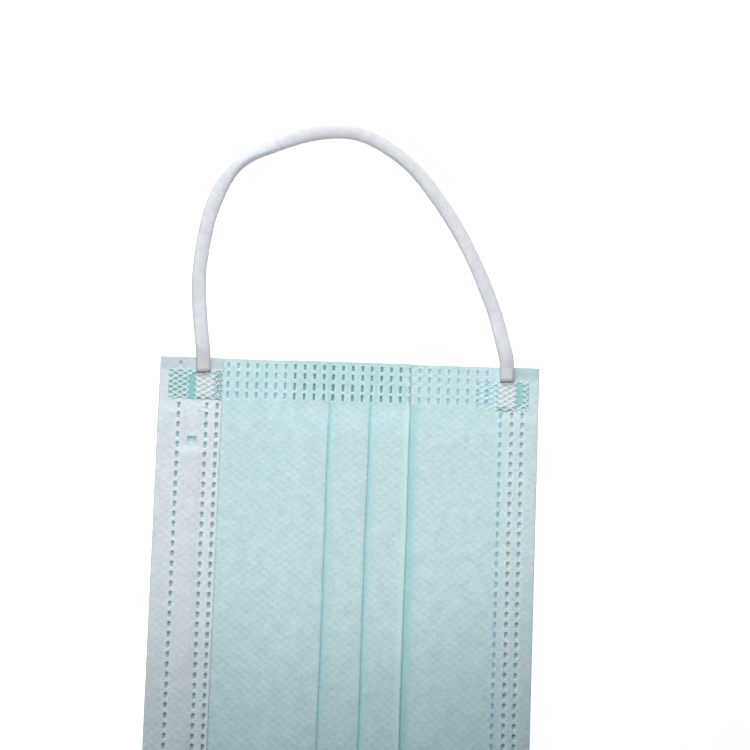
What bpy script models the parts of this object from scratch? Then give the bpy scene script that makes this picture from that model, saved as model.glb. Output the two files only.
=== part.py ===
"""Pleated disposable face mask with two ear loops, lying flat with its outer side up.

Units are metres. X runs across the mask, from the nose edge at -X to the chin edge at +X, Y along its
length and Z up. The origin is the centre of the face that the mask lies on.
"""

import math

import bmesh
import bpy
from mathutils import Vector

MM = 0.001

# Folded mask
MASK_WIDTH = 95.0 * MM
MASK_LENGTH = 175.0 * MM
CLEARANCE = 0.3 * MM

# Pleated panel: outer, filter and inner ply lie together as one wall
PANEL_WALL = 1.0 * MM
PLEAT_COUNT = 3
FIRST_FOLD = 42.8 * MM  # nose edge to the first fold edge
PLEAT_PITCH = 10.1 * MM
RISER_ROUNDING = 0.8 * MM
FIRST_RISE = 5.0 * MM  # run of the slope that climbs onto the first hidden fold

# Side welds: the layers are pressed together and fused along the short edges
WELD_BAND = 10.6 * MM
WELD_SQUEEZE = 0.5  # height of the pressed pleats over their free height
WELD_INSET = 1.0 * MM
PLEAT_SPRING = 9.0 * MM  # length over which the pleats spring up beside a weld

# White inner ply turned over the long edges
FOLD_WALL = 1.0 * MM
FOLD_ROUNDING = 0.6 * MM
NOSE_FOLD_WIDTH = 15.8 * MM
CHIN_FOLD_WIDTH = 8.6 * MM

# Nose wire and its pocket, between the two outer seams of the nose fold
WIRE_WIDTH = 3.0 * MM
WIRE_THICKNESS = 0.8 * MM
WIRE_LENGTH = 125.0 * MM
WIRE_ROUNDING = 0.25 * MM
POCKET_START = 5.2 * MM  # nose edge to the first seam
POCKET_END = 12.2 * MM
POCKET_SLOPE = 1.5 * MM
POCKET_TAPER = 4.5 * MM  # length over which the pocket flattens past each end of the wire

# Ear loops
LOOP_DIAMETER = 3.2 * MM
LOOP_POINT_SPACING = 2.1  # distance between two points of the tube, in diameters
LOOP_DROP_START = 2.0 * MM  # reach past the short edge where the loop starts to drop to the surface
LOOP_DROP_END = 15.0 * MM
FLOOR_LIFT = 0.05 * MM
NOSE_LEG = 11.0 * MM  # nose edge to the middle of that leg
CHIN_LEG = 8.1 * MM

# Flattened loop ends, welded to the face at the corners
END_SETBACK = 3.6 * MM  # short edge to the start of the weld
END_LENGTH = 7.2 * MM
END_WIDTH = 4.3 * MM
END_THICKNESS = 1.0 * MM
END_SIDES = 12

# Sections along a loop end: share of its length, how far it is flattened, and size
END_SECTIONS = [
    (0.00, 0.0, 1.00),
    (0.22, 0.5, 1.00),
    (0.45, 1.0, 1.00),
    (0.92, 1.0, 1.00),
    (1.00, 1.0, 0.84),
]

# Route of a loop seen from above: place across, as a share of the distance between its two legs,
# and reach past the short edge
LOOP_ROUTE = [
    (-0.004, 1.5 * MM),
    (-0.012, 6.0 * MM),
    (-0.026, 15.5 * MM),
    (-0.026, 24.5 * MM),
    (0.003, 38.0 * MM),
    (0.072, 48.6 * MM),
    (0.202, 54.9 * MM),
    (0.358, 58.8 * MM),
    (0.503, 58.3 * MM),
    (0.650, 51.6 * MM),
    (0.761, 41.8 * MM),
    (0.860, 29.7 * MM),
    (0.944, 15.5 * MM),
    (0.985, 5.0 * MM),
    (0.996, 1.5 * MM),
]

# Heights that the pieces share
LAYER_STEP = PANEL_WALL + CLEARANCE
FOLD_UNDERSIDE = PANEL_WALL + CLEARANCE
FOLD_TOP = FOLD_UNDERSIDE + FOLD_WALL
NOSE_EDGE = -MASK_WIDTH / 2
CHIN_EDGE = MASK_WIDTH / 2
SHORT_EDGE = MASK_LENGTH / 2


def material(name, colour, roughness, metallic=0.0):
    """Plain Principled material."""
    made = bpy.data.materials.new(name)
    made.use_nodes = True
    shader = made.node_tree.nodes["Principled BSDF"]
    shader.inputs["Base Color"].default_value = (*colour, 1.0)
    shader.inputs["Roughness"].default_value = roughness
    shader.inputs["Metallic"].default_value = metallic
    return made


def rounded(corners, steps=3):
    """Path through (u, w, radius) corners, with an arc of that radius at each corner that has one."""
    path = []
    for index, (u, w, radius) in enumerate(corners):
        here = Vector((u, w))
        if radius == 0 or index in (0, len(corners) - 1):
            path.append(here)
            continue
        back = (Vector(corners[index - 1][:2]) - here).normalized()
        ahead = (Vector(corners[index + 1][:2]) - here).normalized()
        half_angle = back.angle(ahead) / 2
        bisector = (back + ahead).normalized()
        centre = here + bisector * radius / math.sin(half_angle)
        start = here + back * radius / math.tan(half_angle) - centre
        end = here + ahead * radius / math.tan(half_angle) - centre
        sweep = start.angle_signed(end)
        for step in range(steps + 1):
            turn = -sweep * step / steps
            spoke = Vector((
                start.x * math.cos(turn) - start.y * math.sin(turn),
                start.x * math.sin(turn) + start.y * math.cos(turn),
            ))
            if (centre + spoke - path[-1]).length > 0.01 * radius:
                path.append(centre + spoke)
    return path


def wall_outline(path, thickness):
    """Closed outline of a wall of the given thickness laid along a path."""
    sides = ([], [])
    for index, point in enumerate(path):
        before = path[max(index - 1, 0)]
        after = path[min(index + 1, len(path) - 1)]
        arriving = (point - before).normalized()
        leaving = (after - point).normalized()
        along = (arriving + leaving).normalized()
        normal = Vector((-along.y, along.x))
        stretch = 1 / along.dot(arriving if index > 0 else leaving)
        sides[0].append(point + normal * stretch * thickness / 2)
        sides[1].append(point - normal * stretch * thickness / 2)
    return sides[0] + sides[1][::-1]


def lofted(name, rings, surface):
    """Closed solid through rings of equally many points, with a flat cap at each end."""
    mesh = bpy.data.meshes.new(name)
    solid = bmesh.new()
    loops = [[solid.verts.new(point) for point in ring] for ring in rings]
    count = len(rings[0])
    for near, far in zip(loops, loops[1:]):
        for index in range(count):
            after = (index + 1) % count
            solid.faces.new((near[index], near[after], far[after], far[index]))
    solid.faces.new(loops[0])
    solid.faces.new(loops[-1])
    bmesh.ops.recalc_face_normals(solid, faces=solid.faces)
    solid.to_mesh(mesh)
    solid.free()
    mesh.materials.append(surface)
    piece = bpy.data.objects.new(name, mesh)
    bpy.context.collection.objects.link(piece)
    return piece


def at_station(outline, y):
    """Outline across the mask as a ring at one place along it."""
    return [(point.x, y, point.y) for point in outline]


def block(name, low, high):
    """Box between two corners."""
    mesh = bpy.data.meshes.new(name)
    solid = bmesh.new()
    bmesh.ops.create_cube(solid, size=1.0)
    size = Vector(high) - Vector(low)
    bmesh.ops.scale(solid, vec=size, verts=solid.verts)
    bmesh.ops.translate(solid, vec=(Vector(low) + Vector(high)) / 2, verts=solid.verts)
    solid.to_mesh(mesh)
    solid.free()
    piece = bpy.data.objects.new(name, mesh)
    bpy.context.collection.objects.link(piece)
    return piece


def unite(piece, tool):
    """Fuse the tool into the piece."""
    union = piece.modifiers.new(tool.name, "BOOLEAN")
    union.operation = "UNION"
    union.solver = "EXACT"
    union.object = tool
    tool.hide_render = True
    tool.display_type = "WIRE"
    tool.hide_set(True)


def fold_edges():
    """Places of the visible fold edges across the mask."""
    return [NOSE_EDGE + FIRST_FOLD + PLEAT_PITCH * index for index in range(PLEAT_COUNT)]


def hidden_fold(fold_edge):
    """Place of the hidden fold behind a fold edge: the riser of the next layer fits between pleats."""
    return fold_edge - PLEAT_PITCH + PANEL_WALL + 2 * CLEARANCE


def pleat_path():
    """Middle line of the panel wall: each pleat is a Z fold that opens towards the chin."""
    lower = PANEL_WALL / 2
    middle = lower + LAYER_STEP
    upper = middle + LAYER_STEP
    half = PANEL_WALL / 2
    first_hidden = hidden_fold(fold_edges()[0])
    corners = [
        (NOSE_EDGE + FOLD_WALL + CLEARANCE, lower, 0),
        (first_hidden - CLEARANCE - FIRST_RISE, lower, RISER_ROUNDING),
        (first_hidden - CLEARANCE, upper, RISER_ROUNDING),
    ]
    for index, edge in enumerate(fold_edges()):
        if index > 0:
            riser = fold_edges()[index - 1] + CLEARANCE + half
            corners.append((riser, lower, RISER_ROUNDING))
            corners.append((riser, upper, RISER_ROUNDING))
        corners.append((edge - half, upper, LAYER_STEP / 2))
        corners.append((edge - half, middle, LAYER_STEP / 2))
        corners.append((hidden_fold(edge) + half, middle, LAYER_STEP / 2))
        corners.append((hidden_fold(edge) + half, lower, LAYER_STEP / 2))
    corners.append((CHIN_EDGE - FOLD_WALL - CLEARANCE, lower, 0))
    return rounded(corners)


def pressed(outline, squeeze):
    """Outline with everything above the lowest layer pressed down."""
    return [
        Vector((point.x, min(point.y, PANEL_WALL) + max(point.y - PANEL_WALL, 0) * squeeze))
        for point in outline
    ]


def pleated_panel(surface):
    """Pleated wall, pressed flat and fused at both short edges."""
    outline = wall_outline(pleat_path(), PANEL_WALL)
    weld_end = SHORT_EDGE - WELD_BAND
    stations = [
        (-SHORT_EDGE, WELD_SQUEEZE),
        (-weld_end, WELD_SQUEEZE),
        (-weld_end + PLEAT_SPRING, 1.0),
        (weld_end - PLEAT_SPRING, 1.0),
        (weld_end, WELD_SQUEEZE),
        (SHORT_EDGE, WELD_SQUEEZE),
    ]
    rings = [at_station(pressed(outline, squeeze), y) for y, squeeze in stations]
    panel = lofted("pleated_panel", rings, surface)
    edges = fold_edges()
    bar_low = PANEL_WALL / 2
    bar_high = PANEL_WALL + 2 * LAYER_STEP * WELD_SQUEEZE - PANEL_WALL * WELD_SQUEEZE / 2
    for side in (-1, 1):
        ends = sorted((side * (SHORT_EDGE - WELD_INSET), side * (weld_end + WELD_INSET)))
        bar = block(
            "side_weld_bar_" + ("far" if side > 0 else "near"),
            (hidden_fold(edges[0]) + PANEL_WALL, ends[0], bar_low),
            (edges[-1] - PANEL_WALL, ends[1], bar_high),
        )
        unite(panel, bar)
    return panel


def edge_fold(name, edge, inward, corners_for, stations, surface):
    """Turned-over ply: a wall round one long edge and a leg that lies on the face."""
    rings = []
    for y, lift in stations:
        corners = [(edge + inward * FOLD_WALL / 2, 0.0, 0)]
        corners.append((edge + inward * FOLD_WALL / 2, FOLD_UNDERSIDE + FOLD_WALL / 2, FOLD_ROUNDING))
        for reach, raised in corners_for:
            corners.append((edge + inward * reach, FOLD_UNDERSIDE + FOLD_WALL / 2 + lift * raised, 0))
        rings.append(at_station(wall_outline(rounded(corners), FOLD_WALL), y))
    return lofted(name, rings, surface)


def nose_wire(surface):
    """Flat wire in the pocket of the nose fold."""
    middle = NOSE_EDGE + (POCKET_START + POCKET_END) / 2
    wire = block(
        "nose_wire",
        (middle - WIRE_WIDTH / 2, -WIRE_LENGTH / 2, PANEL_WALL + CLEARANCE),
        (middle + WIRE_WIDTH / 2, WIRE_LENGTH / 2, PANEL_WALL + CLEARANCE + WIRE_THICKNESS),
    )
    bevel = wire.modifiers.new("rounded edges", "BEVEL")
    bevel.width = WIRE_ROUNDING
    bevel.segments = 2
    wire.data.materials.append(surface)
    return wire


def loop_end(name, across, side, surface):
    """Loop end: round where the loop meets it, flat where it is welded down."""
    base = FOLD_TOP + CLEARANCE
    rings = []
    for share, flatness, size in END_SECTIONS:
        width = (LOOP_DIAMETER + (END_WIDTH - LOOP_DIAMETER) * flatness) * size
        height = (LOOP_DIAMETER + (END_THICKNESS - LOOP_DIAMETER) * flatness) * size
        y = side * (SHORT_EDGE - END_SETBACK - END_LENGTH * share)
        ring = []
        for index in range(END_SIDES):
            angle = math.tau * (index + 0.5) / END_SIDES
            ring.append((
                across + math.cos(angle) * width / 2,
                y,
                base + height / 2 + math.sin(angle) * height / 2,
            ))
        rings.append(ring)
    piece = lofted(name, rings, surface)
    piece.data.shade_smooth()
    piece.data.set_sharp_from_angle(angle=math.radians(40))
    return piece


def smooth_curve(points, steps=24):
    """Dense samples of a smooth curve that passes through the points."""
    samples = []
    padded = [points[0] * 2 - points[1]] + points + [points[-1] * 2 - points[-2]]
    for a, b, c, d in zip(padded, padded[1:], padded[2:], padded[3:]):
        for step in range(steps):
            t = step / steps
            samples.append((
                b * 2
                + (c - a) * t
                + (a * 2 - b * 5 + c * 4 - d) * t ** 2
                + (b * 3 - a - c * 3 + d) * t ** 3
            ) / 2)
    samples.append(points[-1])
    return samples


def evenly_spaced(samples, spacing):
    """Points at nearly the given spacing along a dense line of samples, both ends included."""
    lengths = [0.0]
    for before, after in zip(samples, samples[1:]):
        lengths.append(lengths[-1] + (after - before).length)
    count = max(2, round(lengths[-1] / spacing))
    points = []
    index = 0
    for number in range(count + 1):
        target = lengths[-1] * number / count
        while index < len(lengths) - 2 and lengths[index + 1] < target:
            index += 1
        share = (target - lengths[index]) / (lengths[index + 1] - lengths[index])
        points.append(samples[index].lerp(samples[index + 1], share))
    return points


def ear_loop(name, side, surface):
    """Round elastic cord from one corner to the other, lying on the surface outside the mask."""
    radius = LOOP_DIAMETER / 2
    first_leg = NOSE_EDGE + NOSE_LEG
    last_leg = CHIN_EDGE - CHIN_LEG
    start_reach = CLEARANCE - END_SETBACK
    route = [(0.0, start_reach)] + LOOP_ROUTE + [(1.0, start_reach)]
    span = last_leg - first_leg
    seen_from_above = [Vector((first_leg + span * share, SHORT_EDGE + reach)) for share, reach in route]
    high = FOLD_TOP + CLEARANCE + radius
    low = radius + FLOOR_LIFT
    spline_points = []
    for point in evenly_spaced(smooth_curve(seen_from_above), LOOP_DIAMETER * LOOP_POINT_SPACING):
        drop = (point.y - SHORT_EDGE - LOOP_DROP_START) / (LOOP_DROP_END - LOOP_DROP_START)
        drop = min(max(drop, 0.0), 1.0)
        drop = drop * drop * (3 - 2 * drop)
        spline_points.append((point.x, side * point.y, high + (low - high) * drop))
    curve = bpy.data.curves.new(name, "CURVE")
    curve.dimensions = "3D"
    curve.bevel_depth = radius
    curve.bevel_resolution = 2
    curve.use_fill_caps = True
    spline = curve.splines.new("POLY")
    spline.points.add(len(spline_points) - 1)
    for target, place in zip(spline.points, spline_points):
        target.co = (*place, 1.0)
    curve.materials.append(surface)
    loop = bpy.data.objects.new(name, curve)
    bpy.context.collection.objects.link(loop)
    return loop


def build():
    """The whole mask."""
    for old in list(bpy.data.objects):
        bpy.data.objects.remove(old, do_unlink=True)

    mint = material("mint spunbond cloth", (0.60, 0.80, 0.79), 0.85)
    white = material("white spunbond cloth", (0.80, 0.84, 0.87), 0.85)
    elastic = material("white knitted elastic", (0.84, 0.85, 0.88), 0.75)
    coated_wire = material("plastic-coated steel wire", (0.78, 0.79, 0.80), 0.5)

    pieces = [pleated_panel(mint)]

    wire_end = WIRE_LENGTH / 2 + CLEARANCE
    pocket_flat = wire_end + POCKET_TAPER
    lift = WIRE_THICKNESS + CLEARANCE
    pocket = [
        (POCKET_START, 0.0),
        (POCKET_START + POCKET_SLOPE, 1.0),
        (POCKET_END - POCKET_SLOPE, 1.0),
        (POCKET_END, 0.0),
        (NOSE_FOLD_WIDTH, 0.0),
    ]
    nose_stations = [
        (-SHORT_EDGE, 0.0),
        (-pocket_flat, 0.0),
        (-wire_end, lift),
        (wire_end, lift),
        (pocket_flat, 0.0),
        (SHORT_EDGE, 0.0),
    ]
    chin_stations = [(-SHORT_EDGE, 0.0), (SHORT_EDGE, 0.0)]
    pieces.append(edge_fold("nose_edge_fold", NOSE_EDGE, 1, pocket, nose_stations, white))
    pieces.append(edge_fold("chin_edge_fold", CHIN_EDGE, -1, [(CHIN_FOLD_WIDTH, 0.0)], chin_stations, white))
    pieces.append(nose_wire(coated_wire))

    for side, place in ((1, "a"), (-1, "b")):
        pieces.append(ear_loop("ear_loop_" + place, side, elastic))
        pieces.append(loop_end("loop_end_nose_" + place, NOSE_EDGE + NOSE_LEG, side, elastic))
        pieces.append(loop_end("loop_end_chin_" + place, CHIN_EDGE - CHIN_LEG, side, elastic))

    mask = bpy.data.objects.new("pleated_mask", None)
    bpy.context.collection.objects.link(mask)
    for piece in pieces:
        piece.parent = mask


build()
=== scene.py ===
import math
from bisect import bisect_left, bisect_right

import bpy
import numpy as np
from mathutils import Matrix, Vector


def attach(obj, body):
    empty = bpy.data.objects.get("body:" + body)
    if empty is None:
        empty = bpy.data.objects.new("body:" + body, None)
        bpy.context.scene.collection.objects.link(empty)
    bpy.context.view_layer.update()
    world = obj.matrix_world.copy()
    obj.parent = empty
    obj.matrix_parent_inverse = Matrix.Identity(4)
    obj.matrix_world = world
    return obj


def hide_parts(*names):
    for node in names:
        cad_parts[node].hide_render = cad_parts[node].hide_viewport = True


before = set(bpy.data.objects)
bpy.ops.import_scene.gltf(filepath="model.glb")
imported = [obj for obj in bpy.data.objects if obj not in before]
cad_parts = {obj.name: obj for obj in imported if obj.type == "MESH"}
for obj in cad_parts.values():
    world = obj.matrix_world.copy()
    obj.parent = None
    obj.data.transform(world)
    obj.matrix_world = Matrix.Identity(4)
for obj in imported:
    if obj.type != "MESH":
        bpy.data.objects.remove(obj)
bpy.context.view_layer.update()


# ---------------------------------------------------------------- camera
# The mask lies flat and is photographed from nearly straight above with a long lens. The picture takes in one
# ear loop and a little more than half of the face, so the camera looks at a point near one short edge.

LOOKED_AT = (6.365, 84.588, 0.0)  # sizes are in millimetres where nothing else is said
CAMERA_DISTANCE = 900.0
CAMERA_TURN, CAMERA_HEIGHT, CAMERA_ROLL = -4.0, 79.122, -2.048  # degrees
PIXELS_PER_MM = 3.994


def in_metres(place):
    """A place or size in millimetres as Blender's metres."""
    return Vector(place) * 0.001


def aim_camera():
    turn, height, roll = (math.radians(a) for a in (CAMERA_TURN, CAMERA_HEIGHT, CAMERA_ROLL))
    forward = Vector((math.sin(turn) * math.cos(height), math.cos(turn) * math.cos(height), -math.sin(height)))
    level = Vector((math.cos(turn), -math.sin(turn), 0.0))
    upright = level.cross(forward)
    right = level * math.cos(roll) + upright * math.sin(roll)
    up = upright * math.cos(roll) - level * math.sin(roll)
    place = in_metres(LOOKED_AT) - forward * CAMERA_DISTANCE * 0.001
    lens = bpy.data.cameras.new("camera")
    lens.lens = lens.sensor_width * PIXELS_PER_MM * CAMERA_DISTANCE / 750
    lens.clip_start = 0.01
    camera = bpy.data.objects.new("camera", lens)
    camera.matrix_world = Matrix((
        (right.x, up.x, -forward.x, place.x),
        (right.y, up.y, -forward.y, place.y),
        (right.z, up.z, -forward.z, place.z),
        (0, 0, 0, 1),
    ))
    bpy.context.collection.objects.link(camera)
    bpy.context.scene.camera = camera


aim_camera()


# ---------------------------------------------------------------- ear loops
# Two lengths of soft elastic cord, knitted round from nylon over spandex and pressed a little flat on the roll.
# Each end is laid on a corner of the mask and welded there, so the cord flattens as it comes to the weld.

MASK_WIDTH, MASK_LENGTH = 95.0, 175.0
SHORT_EDGE = MASK_LENGTH / 2
NOSE_LEG_X, CHIN_LEG_X = -36.5, 39.4  # where the two legs are welded, across the mask
LOOP_WIDTH, LOOP_THICKNESS = 3.6, 2.6  # as it lies, pressed a little flat
LOOP_GIRTH = 9.2  # once round it
LOOP_ROUTE = [  # share of the way from leg to leg, millimetres past the short edge
    (0.0, -3.3), (-0.004, 1.5), (-0.012, 6.0), (-0.026, 15.5), (-0.026, 24.5), (0.003, 38.0), (0.072, 48.6),
    (0.202, 54.9), (0.358, 58.8), (0.503, 58.3), (0.650, 51.6), (0.761, 41.8), (0.860, 29.7), (0.944, 15.5),
    (0.985, 5.0), (0.996, 1.5), (1.0, -3.3),
]
LOOP_ON_WELD, LOOP_ON_FLOOR = 2.45, 1.35  # height of its middle
END_SINKS, END_FLATTENS = 0.9, 0.42  # towards the weld, in millimetres and as a share of the thickness
LIES_ON_ITS_SIDE = [(0.8, 0.355), (0.25, 0.62)]  # turned by this angle in radians, at this share of its length


def smooth(low, high, value):
    """Soft step from 0 at low to 1 at high."""
    share = np.clip((np.asarray(value, float) - low) / (high - low), 0, 1)
    return share * share * (3 - 2 * share)


def through_points(points, steps=24):
    """Dense smooth line through the points."""
    ends = [2 * points[0] - points[1], *points, 2 * points[-1] - points[-2]]
    line = []
    for a, b, c, d in zip(ends, ends[1:], ends[2:], ends[3:]):
        for t in np.arange(steps) / steps:
            line.append((b * 2 + (c - a) * t + (a * 2 - b * 5 + c * 4 - d) * t**2 + (b * 3 - a - c * 3 + d) * t**3) / 2)
    return np.array([*line, points[-1]])


def loop_line(side, spacing=0.6):
    """Middle line of one loop, evenly spaced, with each point's distance along it."""
    across, reach = np.array(LOOP_ROUTE).T
    flat = through_points(np.stack([NOSE_LEG_X + (CHIN_LEG_X - NOSE_LEG_X) * across, SHORT_EDGE + reach], 1))
    along = np.concatenate([[0], np.cumsum(np.linalg.norm(np.diff(flat, axis=0), axis=1))])
    stops = np.linspace(0, along[-1], round(along[-1] / spacing) + 1)
    x, y = np.interp(stops, along, flat[:, 0]), np.interp(stops, along, flat[:, 1])
    past_edge = y - SHORT_EDGE
    z = LOOP_ON_WELD + (LOOP_ON_FLOOR - LOOP_ON_WELD) * smooth(1.0, 15.0, past_edge)
    z -= END_SINKS * (1 - smooth(-3.9, 4.5, past_edge))
    return np.stack([x, side * y, z], 1), stops


def knitted_loop(name, side, sides=20):
    """Tube along the loop, flatter than round, which turns on its side where the loop bends."""
    line, stops = loop_line(side)
    whole = stops[-1]
    heading = np.gradient(line, axis=0)
    heading /= np.linalg.norm(heading, axis=1)[:, None]
    level = np.cross(heading, (0, 0, 1.0))
    level /= np.linalg.norm(level, axis=1)[:, None]
    upright = np.cross(level, heading)
    flattened = 1 - smooth(0.5, 5.5, np.minimum(stops, whole - stops))
    share = stops / whole
    twist = sum(turn * np.exp(-(((share - place) / 0.05) ** 2)) for turn, place in LIES_ON_ITS_SIDE)
    sway = 0.03 * np.sin(stops * 0.13) + 0.02 * np.sin(stops * 0.41 + 1.1)
    spread = 0.09 * np.exp(-(((share - 0.26) / 0.05) ** 2))  # wider just before the bend
    width = LOOP_WIDTH * (1 - 0.02 * flattened) * (1 + 0.6 * sway + spread)
    thickness = LOOP_THICKNESS * (1 - END_FLATTENS * flattened) * (1 - 0.5 * sway)
    turns = np.arange(sides) / sides * math.tau
    rings = []
    for i in range(len(line)):
        flat_way = np.cos(turns) * width[i] / 2
        thin_way = np.sin(turns) * thickness[i] / 2
        thin_way = np.where(thin_way < 0, thin_way * 0.92, thin_way)  # a little flatter where it lies
        c, s = math.cos(twist[i]), math.sin(twist[i])
        a, b = flat_way * c - thin_way * s, flat_way * s + thin_way * c
        ring = line[i] + a[:, None] * level[i] + b[:, None] * upright[i]
        rings.append(ring - (0, 0, min(0.0, ring[:, 2].min() - 0.03)))
    rings = np.array(rings)
    for end, before in ((0, 1), (-1, -2)):  # the melted ends run a little way over the net
        rings[end] += (rings[end].mean(axis=0) - rings[before].mean(axis=0)) * 0.9
    verts = rings.reshape(-1, 3)
    faces = []
    for i in range(len(line) - 1):
        for k in range(sides):
            n = (k + 1) % sides
            faces.append((i * sides + k, (i + 1) * sides + k, (i + 1) * sides + n, i * sides + n))
    faces.append(tuple(range(sides)))
    faces.append(tuple((len(line) - 1) * sides + k for k in reversed(range(sides))))
    mesh = bpy.data.meshes.new(name)
    mesh.from_pydata((verts * 0.001).tolist(), [], faces)
    mesh.update()
    around = mesh.uv_layers.new(name="knit_mm").uv
    for face in mesh.polygons:
        for corner, vert in zip(face.loop_indices, face.vertices):
            ring, k = divmod(vert, sides)
            if k == 0 and max(v % sides for v in face.vertices) == sides - 1:
                k = sides
            around[corner].vector = (k / sides * LOOP_GIRTH, stops[ring])
    mesh.shade_smooth()
    loop = bpy.data.objects.new(name, mesh)
    bpy.context.collection.objects.link(loop)
    return loop, rings.mean(axis=1) * 0.001


def linear(hex_colour):
    """sRGB hex colour as the linear RGBA that the nodes take."""
    parts = [int(hex_colour[i:i + 2], 16) / 255 for i in (1, 3, 5)]
    return (*(p / 12.92 if p <= 0.04045 else ((p + 0.055) / 1.055) ** 2.4 for p in parts), 1.0)


def add(tree, kind, settings=(), **inputs):
    """Adds one node. settings are its own properties; an input is a value, or an output to link from."""
    node = tree.nodes.new("ShaderNode" + kind)
    for key, value in dict(settings).items():
        setattr(node, key, value)
    for key, value in inputs.items():
        numbered = key[0] == "i" and key[1:].isdigit()
        socket = node.inputs[int(key[1:]) if numbered else key.replace("_", " ")]
        if isinstance(value, bpy.types.NodeSocket):
            tree.links.new(value, socket)
        else:
            socket.default_value = value
    return node


def new_material(name, **surface):
    """Material with its node tree and Principled shader; surface sets the shader's own sockets."""
    made = bpy.data.materials.new(name)
    made.use_nodes = True
    shader = made.node_tree.nodes["Principled BSDF"]
    for socket, value in surface.items():
        shader.inputs[socket.replace("_", " ")].default_value = value
    return made, made.node_tree, shader


def knitted_elastic():
    """Knitted nylon-covered elastic, undyed: soft white with hardly any gloss, with painted shade greying it down its
    flanks, where they turn away from the light. Its wales are 0.3 mm and its courses 0.4 mm apart, too fine to show, so
    they are drawn 0.42 and 0.55 mm apart, and its fuzz as spots of half a millimetre."""
    made, tree, shader = new_material(
        "knitted_white_elastic", Roughness=0.82, IOR=1.5, Sheen_Weight=0.25, Sheen_Roughness=0.5,
    )
    place = add(tree, "UVMap", {"uv_map": "knit_mm"}).outputs[0]
    parts = add(tree, "SeparateXYZ", i0=place)
    wale = add(tree, "Math", {"operation": "MULTIPLY"}, i0=parts.outputs[0], i1=math.tau / 0.42)
    course = add(tree, "Math", {"operation": "MULTIPLY"}, i0=parts.outputs[1], i1=math.tau / 0.55)
    rib = add(tree, "Math", {"operation": "COSINE"}, i0=wale.outputs[0])
    stitch = add(tree, "Math", {"operation": "COSINE"}, i0=course.outputs[0])
    loops = add(tree, "Math", {"operation": "MULTIPLY"}, i0=rib.outputs[0], i1=stitch.outputs[0])
    fuzz = add(tree, "TexNoise", Vector=place, Scale=1.9, Detail=5.0, Roughness=0.7)
    height = add(tree, "Math", {"operation": "MULTIPLY_ADD"}, i0=fuzz.outputs[0], i1=2.6, i2=loops.outputs[0])
    cloudy = add(tree, "TexNoise", Vector=place, Scale=0.35, Detail=3.0, Roughness=0.6)
    mixed = add(tree, "Math", {"operation": "MULTIPLY_ADD"}, i0=fuzz.outputs[0], i1=0.6, i2=cloudy.outputs[0])
    knit = add(tree, "Math", {"operation": "MULTIPLY_ADD"}, i0=loops.outputs[0], i1=0.11, i2=mixed.outputs[0])
    tint = add(tree, "MapRange", i0=knit.outputs[0], i1=0.5, i2=1.1)
    tint = add(tree, "ValToRGB", i0=tint.outputs[0])
    tint.color_ramp.elements[0].color, tint.color_ramp.elements[1].color = linear("#d3d4db"), linear("#e9eaef")
    # painted shade: the cord's flanks, turned away from the light, are mixed towards grey
    round_it = add(tree, "Math", {"operation": "MULTIPLY"}, i0=parts.outputs[0], i1=math.tau * 2 / LOOP_GIRTH)
    sideways = add(tree, "Math", {"operation": "COSINE"}, i0=round_it.outputs[0])
    flank_shade = add(tree, "MapRange", i0=sideways.outputs[0], i1=-0.1, i2=1.0, i3=0.0, i4=0.75)
    shaded = add(tree, "Mix", {"data_type": "RGBA"}, i0=flank_shade.outputs[0], i6=tint.outputs[0], i7=linear("#b3b5c0"))
    tree.links.new(shaded.outputs[2], shader.inputs["Base Color"])
    bump = add(tree, "Bump", Strength=0.5, Distance=0.00014, Height=height.outputs[0])
    tree.links.new(bump.outputs[0], shader.inputs["Normal"])
    return made


knitted_white_elastic = knitted_elastic()
for place, side in (("a", 1), ("b", -1)):
    loop, centres = knitted_loop("loop_cord_" + place, side)
    loop.data.materials.append(knitted_white_elastic)
    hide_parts("ear_loop_" + place)
    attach(loop, "root")


# ---------------------------------------------------------------- pleated panel: outer ply
# The mask's face: mint spunbond polypropylene, laid over the filter and the lining and folded with them into three
# knife pleats that open towards the chin. Both short sides are welded with four rows of short bars.

NOSE_EDGE, CHIN_EDGE = -MASK_WIDTH / 2, MASK_WIDTH / 2
FOLD_EDGES = [-4.7, 5.4, 15.5]  # the edges that show on the face
HIDDEN_FOLDS = [-13.2, -3.1, 7.0]  # and the folds under them, which show on the lining side
LAYERS_THICK, LAYER_STEP = 0.46, 0.58  # the three plies together, and layer to layer in a pleat
LOWEST, MIDDLE, HIGHEST = 0.30, 0.30 + LAYER_STEP, 0.30 + 2 * LAYER_STEP
WELD_ROWS = [(1.7, 1.35), (4.0, 1.5), (6.7, 1.85), (9.2, 1.7)]  # distance from the short edge, length of a bar
WELD_BAR_WIDTH, WELD_COLUMNS = 0.66, 29
WELD_FIRST, WELD_LAST = -32.7, 34.5  # where the first and the last bar of a row stand
WELD_PITCH = (WELD_LAST - WELD_FIRST) / (WELD_COLUMNS - 1)
WELD_DEEP = 10.6  # how far in from the short edge the side weld reaches
WELD_PRESS = 0.62  # share of their height that the pleats keep in it
PLEATED = (-14.5, 16.0)  # where three layers lie on each other


def rounded_corners(corners, steps=6):
    """Line through (x, z, radius) corners with an arc at each corner that has a radius."""
    line = []
    for i, (x, z, radius) in enumerate(corners):
        here = Vector((x, z))
        if not radius:
            line.append(here)
            continue
        back = (Vector(corners[i - 1][:2]) - here).normalized()
        ahead = (Vector(corners[i + 1][:2]) - here).normalized()
        half = back.angle(ahead) / 2
        centre = here + (back + ahead).normalized() * radius / math.sin(half)
        start = here + back * radius / math.tan(half) - centre
        sweep = start.angle_signed(here + ahead * radius / math.tan(half) - centre)
        for step in range(steps + 1):
            turned = start.copy()
            turned.rotate(Matrix.Rotation(-sweep * step / steps, 2))
            if not line or (centre + turned - line[-1]).length > 0.02:
                line.append(centre + turned)
    return np.array(line)


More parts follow.
